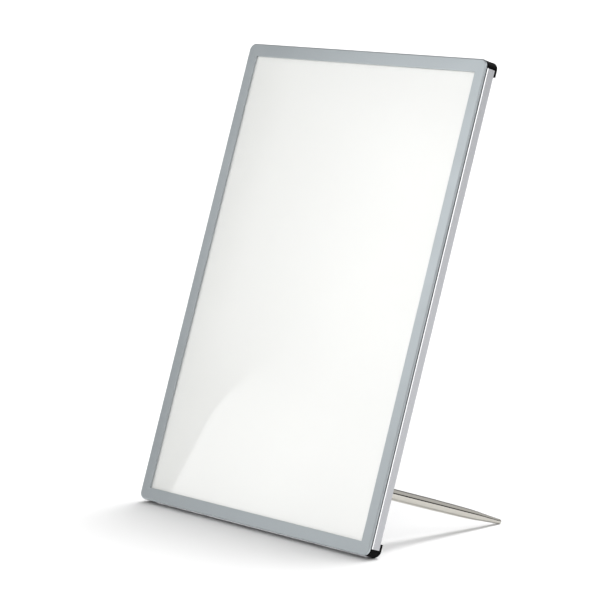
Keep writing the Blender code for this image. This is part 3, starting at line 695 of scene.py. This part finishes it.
def leg_mesh(name):
    bm = bmesh.new()
    seg = 72
    rows = []

    def row(n, radius):
        rows.append([bm.verts.new((radius(a) * MM * math.cos(a), n * MM, radius(a) * MM * math.sin(a)))
                     for a in [2 * math.pi * k / seg for k in range(seg)]])

    n = 10.3
    while n < 15.35:                            # threaded stud, 1 mm pitch, right handed
        run_in = 2.42 + max(n - 10.3, 0.0) * 0.9
        run_out = 2.42 + max(15.6 - n, 0.0) * 1.4
        row(n, lambda a, n=n: min(2.95 - 0.52 * min(1.0, abs(2 * ((n + a / (2 * math.pi)) % 1.0) - 1) * 1.15), run_in, run_out))
        n += 0.11
    row(15.6, lambda a: 2.42)                   # undercut below the shoulder
    row(16.1, lambda a: 2.42)
    row(16.1, lambda a: 4.6)
    for k in range(1, 6):                       # rounded shoulder
        b = math.radians(90 * k / 5)
        row(16.75 - 0.65 * math.cos(b), lambda a, b=b: 4.6 + 0.65 * math.sin(b))
    for n in [17.3 + 0.7 * k for k in range(3)] + [20 + 4.0 * k for k in range(41)] + [181.1]:
        if n <= 181.1:
            row(n, lambda a, n=n: leg_radius(n))
    for k in range(1, 8):                       # rounded tip
        b = math.radians(90 * k / 8)
        row(181.1 + 2.3 * math.sin(b), lambda a, b=b: 2.3 * math.cos(b))
    for a, b in zip(rows, rows[1:]):
        for k in range(seg):
            j = (k + 1) % seg
            bm.faces.new((a[k], a[j], b[j], b[k]))
    for ring, n in ((rows[0], 10.3), (rows[-1], 183.4)):
        c = bm.verts.new((0, n * MM, 0))
        for k in range(seg):
            bm.faces.new((ring[k], ring[(k + 1) % seg], c))
    return finish_mesh(bm, name, 40)


leg_me = leg_mesh("turned_leg")
for s, side in ((-1, "left"), (1, "right")):
    at = Matrix.Translation((s * LEG_X * MM, 0, LEG_Z * MM))
    add("turned_leg_" + side, leg_me, M_NICKEL, body="leg_" + side, stands_for="leg_" + side,
        weighted=False, at=at)


# ================================================================ controls
bm = extrude([capsule(4.0, 1.8, AXIS_N, BUTTON_Z)], -HW, -158.3, ACROSS)
rim = [e for e in bm.edges if all(abs(v.co.x + HW * MM) < 1e-6 for v in e.verts)
       and len(e.link_faces) == 2 and sum(1 for f in e.link_faces if abs(f.normal.x) > 0.9) == 1]
bmesh.ops.bevel(bm, geom=rim, offset=0.45 * MM, segments=5, profile=0.5, affect="EDGES", clamp_overlap=False)
dish = bmesh.new()
bmesh.ops.create_uvsphere(dish, u_segments=48, v_segments=24, radius=7.0 * MM)
bmesh.ops.translate(dish, vec=Vector((-HW - 6.72, AXIS_N, BUTTON_Z)) * MM, verts=dish.verts[:])
steps = [("DIFFERENCE", dish),
         ("UNION", box_bm((-158.7, -158.1), (AXIS_N - 2.35, AXIS_N + 2.35), (BUTTON_Z - 5.1, BUTTON_Z + 5.1))),
         ("UNION", cyl_bm("X", AXIS_N, BUTTON_Z, 1.2, -158.4, -157.75, 24))]
add("button_key", combine(bm, steps, "button_key", 30), M_BLACK, body="power_button", stands_for="power_button")

inlet = box_bm((-158.6, -153.8), (4.7, 9.0), (INLET_Z - 3, INLET_Z + 3))
snout = cyl_bm("X", AXIS_N, INLET_Z, 2.1, -160.2, -157.5, 48)
bevel_where(snout, lambda c, e: c.x < -160.1, 0.2, 3)
steps = [("UNION", snout), ("DIFFERENCE", cyl_bm("X", AXIS_N, INLET_Z, 1.55, -161.0, -154.8, 48)),
         ("DIFFERENCE", cyl_bm("X", AXIS_N, INLET_Z, 2.05, -160.6, -159.7, 48, r2=1.5))]
add("inlet_body", combine(inlet, steps, "inlet_body", 35), M_BLACK, stands_for="dc_inlet")
pin = cyl_bm("X", AXIS_N, INLET_Z, 0.5, -159.4, -154.3, 24)
bevel_where(pin, lambda c, e: c.x < -159.3, 0.28, 4)
add("inlet_pin", finish_mesh(pin, "inlet_pin", 40), M_TIN)

# ================================================================ carried-over CAD nodes
for node, mat in (("bezel_gasket", M_FOAM), ("opal_diffuser", M_OPAL), ("diffusion_film", M_FILM),
                  ("light_guide", M_CLEAR), ("reflector_sheet", M_FILM), ("backing_foam", M_FOAM),
                  ("back_panel", M_BACK), ("led_strip_left", M_MASK), ("led_strip_right", M_MASK),
                  ("control_board", M_PCB), ("switch_body", M_BLACK), ("wire_red", M_RED), ("wire_black", M_BWIRE)):
    ob = nodes[node]
    ob.data.materials.clear()
    ob.data.materials.append(mat)
    for p in ob.data.polygons:
        p.material_index = 0

# ================================================================ stage
scene = bpy.context.scene
me = bpy.data.meshes.new("floor")
bm = bmesh.new()
bmesh.ops.create_circle(bm, cap_ends=True, segments=96, radius=60.0)
bm.to_mesh(me)
bm.free()
floor = bpy.data.objects.new("floor", me)
scene.collection.objects.link(floor)
fm = bpy.data.materials.new("studio_floor")
fm.use_nodes = True
fb = fm.node_tree.nodes["Principled BSDF"]
fb.inputs["Base Color"].default_value = (0.90, 0.90, 0.90, 1)
fb.inputs["Roughness"].default_value = 0.9
fb.inputs["Specular IOR Level"].default_value = 0.0
me.materials.append(fm)

# world: white studio, with a thin grey gap low behind the table on the right
world = bpy.data.worlds.new("studio")
scene.world = world
world.use_nodes = True
wt = world.node_tree
bg = wt.nodes["Background"]
out = wt.nodes["World Output"]
tc = wt.nodes.new("ShaderNodeTexCoord")
sep = wt.nodes.new("ShaderNodeSeparateXYZ")
wt.links.new(tc.outputs["Generated"], sep.inputs[0])


def wmath(op, a, b=None, clamp=False):
    n = wt.nodes.new("ShaderNodeMath")
    n.operation = op
    n.use_clamp = clamp
    for s, v in zip(n.inputs, (a, b)):
        if v is None:
            continue
        if isinstance(v, (int, float)):
            s.default_value = v
        else:
            wt.links.new(v, s)
    return n.outputs[0]


def wstep(v, a, b, lo=0.0, hi=1.0):
    n = wt.nodes.new("ShaderNodeMapRange")
    n.interpolation_type = "SMOOTHSTEP"
    for s, x in (("From Min", a), ("From Max", b), ("To Min", lo), ("To Max", hi)):
        n.inputs[s].default_value = x
    wt.links.new(v, n.inputs["Value"])
    return n.outputs["Result"]


X, Y, Z = sep.outputs


def toward(x, y, z):
    """Cosine between the direction looked at and (x, y, z)."""
    v = Vector((x, y, z)).normalized()
    return wmath("ADD", wmath("ADD", wmath("MULTIPLY", X, v.x), wmath("MULTIPLY", Y, v.y)), wmath("MULTIPLY", Z, v.z))


def lobe(az, el, power, strength):
    """A broad soft light from one quarter of the studio (degrees)."""
    a, e = math.radians(az), math.radians(el)
    spread = wmath("POWER", wmath("MAXIMUM", toward(math.cos(a) * math.cos(e), math.sin(a) * math.cos(e), math.sin(e)), 0.0), power)
    return wmath("MULTIPLY", spread, strength)


level = wstep(Z, -0.05, 0.9, 0.11, 0.13)
for soft in ((270, 40, 12, 0.58), (315, 40, 12, 1.96), (270, 12, 14, 0.25), (210, 12, 14, 0.45), (240, 12, 14, 0.22),
             (90, 72, 10, 0.35), (17, 4, 80, 2.0)):
    level = wmath("ADD", level, lobe(*soft))
# a pale backdrop low behind the table, over a thin dark gap at its foot
back = wmath("MULTIPLY", wmath("MULTIPLY", wstep(Z, 0.19, 0.23), wstep(Z, 0.60, 0.75, 1.0, 0.0)), wstep(toward(0.39, 0.92, 0.0), 0.60, 0.76))
level = wmath("ADD", level, wmath("MULTIPLY", back, 0.62))
gap = wmath("MULTIPLY", wmath("MULTIPLY", wstep(Z, 0.0, 0.01), wstep(Z, 0.19, 0.23, 1.0, 0.0)), wstep(toward(0.69, 0.72, 0.0), 0.93, 0.975))
level = wmath("MULTIPLY", level, wmath("SUBTRACT", 1.0, wmath("MULTIPLY", gap, 0.97)))
wt.links.new(level, bg.inputs["Strength"])
bg.inputs["Color"].default_value = (1, 1, 1, 1)
white = wt.nodes.new("ShaderNodeBackground")
white.inputs["Color"].default_value = (1, 1, 1, 1)
white.inputs["Strength"].default_value = 1.05
lp = wt.nodes.new("ShaderNodeLightPath")
pick = wt.nodes.new("ShaderNodeMixShader")
wt.links.new(lp.outputs["Is Camera Ray"], pick.inputs[0])
wt.links.new(bg.outputs[0], pick.inputs[1])
wt.links.new(white.outputs[0], pick.inputs[2])
wt.links.new(pick.outputs[0], out.inputs["Surface"])


def sun(name, toward_light, angle, strength):
    li = bpy.data.lights.new(name, "SUN")
    li.energy, li.angle = strength, math.radians(angle)
    ob = bpy.data.objects.new(name, li)
    scene.collection.objects.link(ob)
    ob.rotation_mode = "QUATERNION"
    ob.rotation_quaternion = Vector(toward_light).normalized().to_track_quat("Z", "Y")
    return ob


def softbox(name, centre, aim, size, power, color=(1, 1, 1)):
    li = bpy.data.lights.new(name, "AREA")
    li.shape, li.size, li.size_y = "RECTANGLE", size[0], size[1]
    li.energy, li.color = power, color
    ob = bpy.data.objects.new(name, li)
    scene.collection.objects.link(ob)
    ob.location = centre
    ob.rotation_mode = "QUATERNION"
    ob.rotation_quaternion = (Vector(centre) - Vector(aim)).normalized().to_track_quat("Z", "Y")
    return ob


# front-left reflector card: the polished face mirrors it, brighter to the right,
# with a dark flag across its lower left
CARD = (-1.12252828, -0.93169973, 0.62412211)
CARD_A, CARD_B = Vector((0.62834257, -0.77793677, 0.0)), Vector((0.21249616, 0.17163398, 0.96197046))
CARD_POWER = 0.80
me = bpy.data.meshes.new("reflector_card")
me.from_pydata([(-0.30, -0.42, 0), (0.34, -0.42, 0), (0.34, 0.46, 0), (-0.30, 0.46, 0)], [], [(0, 1, 2, 3)])
card = bpy.data.objects.new("reflector_card", me)
scene.collection.objects.link(card)
m4 = Matrix((CARD_A, CARD_B, CARD_A.cross(CARD_B))).transposed().to_4x4()
m4.translation = Vector(CARD)
card.matrix_world = m4
card.visible_camera = False
card.visible_shadow = False
cm = bpy.data.materials.new("reflector_card")
cm.use_nodes = True
ct = cm.node_tree
ct.nodes.clear()
co = ct.nodes.new("ShaderNodeOutputMaterial")
ce = ct.nodes.new("ShaderNodeEmission")
ctr = ct.nodes.new("ShaderNodeBsdfTransparent")
cadd = ct.nodes.new("ShaderNodeAddShader")
ct.links.new(ce.outputs[0], cadd.inputs[0])
ct.links.new(ctr.outputs[0], cadd.inputs[1])
ct.links.new(cadd.outputs[0], co.inputs["Surface"])
cc = ct.nodes.new("ShaderNodeTexCoord")
cs = ct.nodes.new("ShaderNodeSeparateXYZ")
ct.links.new(cc.outputs["Object"], cs.inputs[0])


def cmath(op, a, b):
    n = ct.nodes.new("ShaderNodeMath")
    n.operation = op
    for s, v in zip(n.inputs, (a, b)):
        if isinstance(v, (int, float)):
            s.default_value = v
        else:
            ct.links.new(v, s)
    return n.outputs[0]


def cstep(v, a, b, lo=0.0, hi=1.0, kind="SMOOTHSTEP"):
    n = ct.nodes.new("ShaderNodeMapRange")
    n.interpolation_type = kind
    for s, x in (("From Min", a), ("From Max", b), ("To Min", lo), ("To Max", hi)):
        n.inputs[s].default_value = x
    ct.links.new(v, n.inputs["Value"])
    return n.outputs["Result"]


def cmix(fac, a, b):
    return cmath("ADD", cmath("MULTIPLY", cmath("SUBTRACT", 1.0, fac), a), cmath("MULTIPLY", fac, b))


ca, cb = cs.outputs[0], cs.outputs[1]
slant = cmath("ADD", ca, cmath("MULTIPLY", cb, 0.23))
ramp = ct.nodes.new("ShaderNodeValToRGB")
ramp.color_ramp.interpolation = "CARDINAL"
stops = [(-0.20, 0.0), (-0.15, 0.02), (-0.105, 0.41), (-0.063, 0.57), (-0.02, 0.70), (0.023, 0.82), (0.067, 0.93), (0.11, 0.985), (0.16, 1.0), (0.40, 1.0)]
els = ramp.color_ramp.elements
for k, (at, val) in enumerate(stops):
    e = els[k] if k in (0,) else (els[-1] if k == len(stops) - 1 else els.new((at + 0.20) / 0.60))
    e.position = (at + 0.20) / 0.60
    e.color = (val, val, val, 1)
ct.links.new(cstep(slant, -0.20, 0.40, kind="LINEAR"), ramp.inputs[0])
base = cmath("MULTIPLY", cmath("MULTIPLY", ramp.outputs[0], 3.8), cstep(cb, 0.22, 0.36, 1.0, 0.66))
low = cstep(cb, -0.21, -0.075, 1.0, 0.0)
edge = cmath("SUBTRACT", ca, cmath("ADD", -0.037, cmath("MULTIPLY", cstep(cb, -0.225, -0.10), 0.034)))
dark = cstep(edge, -0.0018, 0.0018, 1.0, 0.0)
lit = cmath("ADD", 3.45, cmath("MULTIPLY", cstep(ca, -0.04, 0.10), 0.80))
power = cmix(dark, cmix(low, base, cmath("MAXIMUM", base, lit)), cmath("MULTIPLY", base, cmath("SUBTRACT", 1.0, cmath("MULTIPLY", cmath("MULTIPLY", low, low), 0.42))))
ct.links.new(cmath("MULTIPLY", power, CARD_POWER), ce.inputs["Strength"])
me.materials.append(cm)
# the softer spill around that card lights everything
me = bpy.data.meshes.new("fill_card")
me.from_pydata([(-0.25, -0.55, 0.01), (0.80, -0.55, 0.01), (0.80, 0.55, 0.01), (-0.25, 0.55, 0.01)], [], [(0, 1, 2, 3)])
fill = bpy.data.objects.new("fill_card", me)
scene.collection.objects.link(fill)
fill.matrix_world = m4
fill.visible_camera = False
fill.visible_shadow = False
fc = bpy.data.materials.new("fill_card")
fc.use_nodes = True
ct = fc.node_tree
ct.nodes.clear()
co = ct.nodes.new("ShaderNodeOutputMaterial")
ce = ct.nodes.new("ShaderNodeEmission")
ct.links.new(ce.outputs[0], co.inputs["Surface"])
cc = ct.nodes.new("ShaderNodeTexCoord")
cs = ct.nodes.new("ShaderNodeSeparateXYZ")
ct.links.new(cc.outputs["Object"], cs.inputs[0])
ca, cb = cs.outputs[0], cs.outputs[1]
up = cstep(cb, -0.20, 0.08)
across_low = cmath("ADD", cstep(ca, -0.18, 0.12, 0.06, 1.12), cstep(ca, 0.26, 0.46, 0.0, -0.52))
across_high = cmath("ADD", cstep(ca, -0.20, 0.12, 0.30, 1.90), cstep(ca, 0.26, 0.44, 0.0, -1.40))
ct.links.new(cmix(up, across_low, across_high), ce.inputs["Strength"])
me.materials.append(fc)

seen = bpy.data.collections.new("card_lights")
seen.objects.link(nodes["opal_diffuser"])
card.light_linking.receiver_collection = seen



def from_quarter(az, el):
    a, e = math.radians(az), math.radians(el)
    return (math.cos(a) * math.cos(e), math.sin(a) * math.cos(e), math.sin(e))


sun("back_right", from_quarter(40, 35), 40, 0.47)
sun("back_key", from_quarter(95, 60), 34, 2.65).visible_glossy = False
sun("front_left", from_quarter(205, 50), 40, 0.22)

# ================================================================ camera
az, ph = math.radians(49.241), math.radians(8.222)
d = Vector((-math.sin(az) * math.cos(ph), math.cos(az) * math.cos(ph), -math.sin(ph)))
r = Vector((math.cos(az), math.sin(az), 0.0))
u = r.cross(d)
cam_data = bpy.data.cameras.new("camera")
cam_data.sensor_width = 36.0
cam_data.lens = 2940.9 / 600 * 36
cam_data.clip_start, cam_data.clip_end = 0.05, 200.0
cam = bpy.data.objects.new("camera", cam_data)
scene.collection.objects.link(cam)
m4 = Matrix((r, u, -d)).transposed().to_4x4()
m4.translation = Vector((1.993800, -1.753091, 0.584272))
cam.matrix_world = m4
scene.camera = cam

scene.view_settings.view_transform = "Standard"
scene.view_settings.look = "None"
scene.view_settings.exposure = 0.0
scene.view_settings.gamma = 1.0
